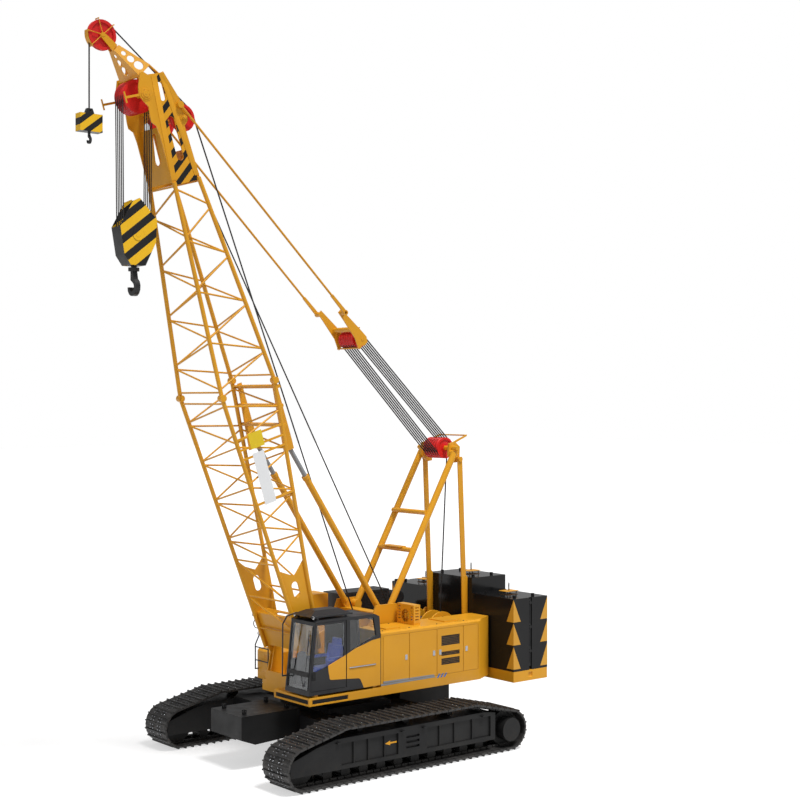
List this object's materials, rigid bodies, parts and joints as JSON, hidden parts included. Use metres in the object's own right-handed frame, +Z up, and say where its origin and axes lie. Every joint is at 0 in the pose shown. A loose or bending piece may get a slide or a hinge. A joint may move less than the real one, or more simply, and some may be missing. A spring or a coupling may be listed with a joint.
{
  "type": "lattice boom crawler crane",
  "caption": "Crawler crane: tracked undercarriage, slewing upperworks with cab, gantry and counterweights, luffing lattice boom with main and auxiliary hooks.",
  "frame": {"origin": "on the ground under the slewing axis, midway between the tracks", "axes": "+X forward along the boom, +Y to the left, +Z up"},
  "size_m": [11.5224, 6, 16.3975],
  "materials": {
    "yellow_paint": "satin chrome-yellow paint",
    "black_paint": "satin black paint",
    "track_steel": "dark cast steel",
    "red_sheave": "red painted rope sheaves",
    "hook_stripe": "yellow and black diagonal stripes",
    "engine_iron": "bare iron",
    "seat_fabric": "blue woven cloth",
    "grey_steel": "bare grey steel",
    "window_glass": "lightly tinted glass",
    "sign_white": "plain white sign face"
  },
  "bodies": {
    "undercarriage": {"carbody": "black_paint", "slew_ring": "black_paint", "carbody_weights": "black_paint", "track_frame_left": "black_paint", "track_left": "track_steel", "track_frame_right": "black_paint", "track_right": "track_steel", "idlers": "black_paint", "final_drives": "black_paint", "track_rollers": "black_paint"},
    "upperworks": {"deck_frame": "yellow_paint", "platforms": "yellow_paint", "engine_house": "yellow_paint", "engine_block": "engine_iron", "right_house": "yellow_paint", "oil_cooler": "black_paint", "fan_guard": "yellow_paint", "silencer": "grey_steel", "gantry": "yellow_paint", "weight_tray": "yellow_paint", "counterweights": "black_paint", "cab_shell": "black_paint", "cab_inside": "seat_fabric", "cab_glass": "window_glass", "guard_rails": "black_paint"},
    "cab_door": {"cab_door": "black_paint", "door_glass": "window_glass"},
    "house_door_1": {"house_door_1": "yellow_paint"},
    "house_door_2": {"house_door_2": "yellow_paint"},
    "house_door_3": {"house_door_3": "yellow_paint"},
    "house_door_4": {"house_door_4": "yellow_paint"},
    "drum_main": {"drum_main": "yellow_paint"},
    "drum_aux": {"drum_aux": "yellow_paint"},
    "drum_boom": {"drum_boom": "yellow_paint"},
    "boom": {"boom_base_chords": "yellow_paint", "boom_top_chords": "yellow_paint", "boom_base_braces": "yellow_paint", "boom_top_braces": "yellow_paint", "boom_foot": "yellow_paint", "boom_head": "yellow_paint", "tip_arm": "yellow_paint", "backstop_frame": "yellow_paint", "sign_plates": "sign_white"},
    "idler_sheaves": {"idler_sheaves": "red_sheave"},
    "head_hanger": {"head_sheaves": "red_sheave"},
    "hook_block": {"hook_block": "hook_stripe", "main_hook": "track_steel"},
    "block_sheaves": {"block_sheaves": "red_sheave"},
    "tip_hanger": {"tip_sheave": "red_sheave"},
    "aux_hook": {"aux_block": "hook_stripe", "aux_hook": "track_steel"},
    "backstop_tube_left": {"backstop_tube_left": "yellow_paint"},
    "backstop_rod_left": {"backstop_rod_left": "yellow_paint"},
    "backstop_tube_right": {"backstop_tube_right": "yellow_paint"},
    "backstop_rod_right": {"backstop_rod_right": "yellow_paint"},
    "gantry_swivel": {"gantry_sheaves": "red_sheave"},
    "suspension": {"spreader": "yellow_paint", "pendants": "yellow_paint"},
    "spreader_sheaves": {"spreader_sheaves": "red_sheave"}
  },
  "joints": [
    {"name": "slew", "type": "hinge", "parent": "undercarriage", "child": "upperworks", "pos_m": [0, 0, 1.4], "axis": [0, 0, 1], "continuous": true},
    {"name": "luff", "type": "hinge", "parent": "upperworks", "child": "boom", "pos_m": [1.158, 0, 2.31], "axis": [0, -1, 0], "range_deg": [-43.2, 6.8]},
    {"name": "cab_door_hinge", "type": "hinge", "parent": "upperworks", "child": "cab_door", "pos_m": [1.038, 1.765, 2.5], "axis": [0, 0, 1], "range_deg": [0, 95]},
    {"name": "house_door_1_hinge", "type": "hinge", "parent": "upperworks", "child": "house_door_1", "pos_m": [-0.077, 1.77, 2.3], "axis": [0, 0, -1], "range_deg": [0, 100]},
    {"name": "house_door_2_hinge", "type": "hinge", "parent": "upperworks", "child": "house_door_2", "pos_m": [-0.861, 1.77, 2.3], "axis": [0, 0, -1], "range_deg": [0, 100]},
    {"name": "house_door_3_hinge", "type": "hinge", "parent": "upperworks", "child": "house_door_3", "pos_m": [-2.492, 1.77, 2.3], "axis": [0, 0, 1], "range_deg": [0, 100]},
    {"name": "house_door_4_hinge", "type": "hinge", "parent": "upperworks", "child": "house_door_4", "pos_m": [-2.973, 1.77, 2.3], "axis": [0, 0, 1], "range_deg": [0, 100]},
    {"name": "drum_main_spin", "type": "hinge", "parent": "upperworks", "child": "drum_main", "pos_m": [-1.75, 0, 2.46], "axis": [0, 1, 0], "continuous": true},
    {"name": "drum_aux_spin", "type": "hinge", "parent": "upperworks", "child": "drum_aux", "pos_m": [-0.62, 0, 2.42], "axis": [0, 1, 0], "continuous": true},
    {"name": "drum_boom_spin", "type": "hinge", "parent": "upperworks", "child": "drum_boom", "pos_m": [-2.9, 0, 2.56], "axis": [0, 1, 0], "continuous": true},
    {"name": "idler_spin", "type": "hinge", "parent": "boom", "child": "idler_sheaves", "pos_m": [4.4723, 0, 14.4293], "axis": [0, 1, 0], "continuous": true},
    {"name": "head_swing", "type": "hinge", "parent": "boom", "child": "head_hanger", "pos_m": [5.404, 0, 14.8166], "axis": [0, -1, 0], "range_deg": [-6.85, 43.25]},
    {"name": "main_hoist", "type": "slide", "parent": "head_hanger", "child": "hook_block", "axis": [0, 0, 1], "range_m": [-9, 0.5]},
    {"name": "block_spin", "type": "hinge", "parent": "hook_block", "child": "block_sheaves", "pos_m": [5.404, 0, 11.85], "axis": [0, 1, 0], "continuous": true},
    {"name": "tip_swing", "type": "hinge", "parent": "boom", "child": "tip_hanger", "pos_m": [6.1724, 0, 16.047], "axis": [0, -1, 0], "range_deg": [-6.85, 43.25]},
    {"name": "aux_hoist", "type": "slide", "parent": "tip_hanger", "child": "aux_hook", "axis": [0, 0, 1], "range_m": [-11, 0.8]},
    {"name": "backstop_swing_left", "type": "hinge", "parent": "upperworks", "child": "backstop_tube_left", "pos_m": [-0.82, 0.64, 3.3], "axis": [0, -1, 0], "range_deg": [-36.7, 5.82]},
    {"name": "backstop_slide_left", "type": "slide", "parent": "backstop_tube_left", "child": "backstop_rod_left", "axis": [0.5532, 0, 0.8331], "range_m": [-0.241, 1.5202]},
    {"name": "backstop_swing_right", "type": "hinge", "parent": "upperworks", "child": "backstop_tube_right", "pos_m": [-0.82, -0.64, 3.3], "axis": [0, -1, 0], "range_deg": [-36.7, 5.82]},
    {"name": "backstop_slide_right", "type": "slide", "parent": "backstop_tube_right", "child": "backstop_rod_right", "axis": [0.5532, 0, 0.8331], "range_m": [-0.241, 1.5202]},
    {"name": "suspension_swing", "type": "hinge", "parent": "upperworks", "child": "gantry_swivel", "pos_m": [-3.26, 0, 7.085], "axis": [0, -1, 0], "range_deg": [-37.94, 6.01]},
    {"name": "suspension_pay_out", "type": "slide", "parent": "gantry_swivel", "child": "suspension", "axis": [0.7179, 0, 0.6961], "range_m": [-0.7367, 4.6692]},
    {"name": "spreader_spin", "type": "hinge", "parent": "suspension", "child": "spreader_sheaves", "pos_m": [-0.5103, 0, 9.7511], "axis": [0, 1, 0], "continuous": true}
  ],
  "couplings": [
    {"joint": "head_swing", "follows": "luff", "ratio": -1},
    {"joint": "tip_swing", "follows": "luff", "ratio": -1},
    {"joint": "backstop_swing_left", "follows": "luff", "ratio": 0.8484},
    {"joint": "backstop_slide_left", "follows": "luff", "m_per_rad": -2.0136},
    {"joint": "backstop_swing_right", "follows": "luff", "ratio": 0.8484},
    {"joint": "backstop_slide_right", "follows": "luff", "m_per_rad": -2.0136},
    {"joint": "suspension_swing", "follows": "luff", "ratio": 0.877},
    {"joint": "suspension_pay_out", "follows": "luff", "m_per_rad": -6.1901}
  ]
}
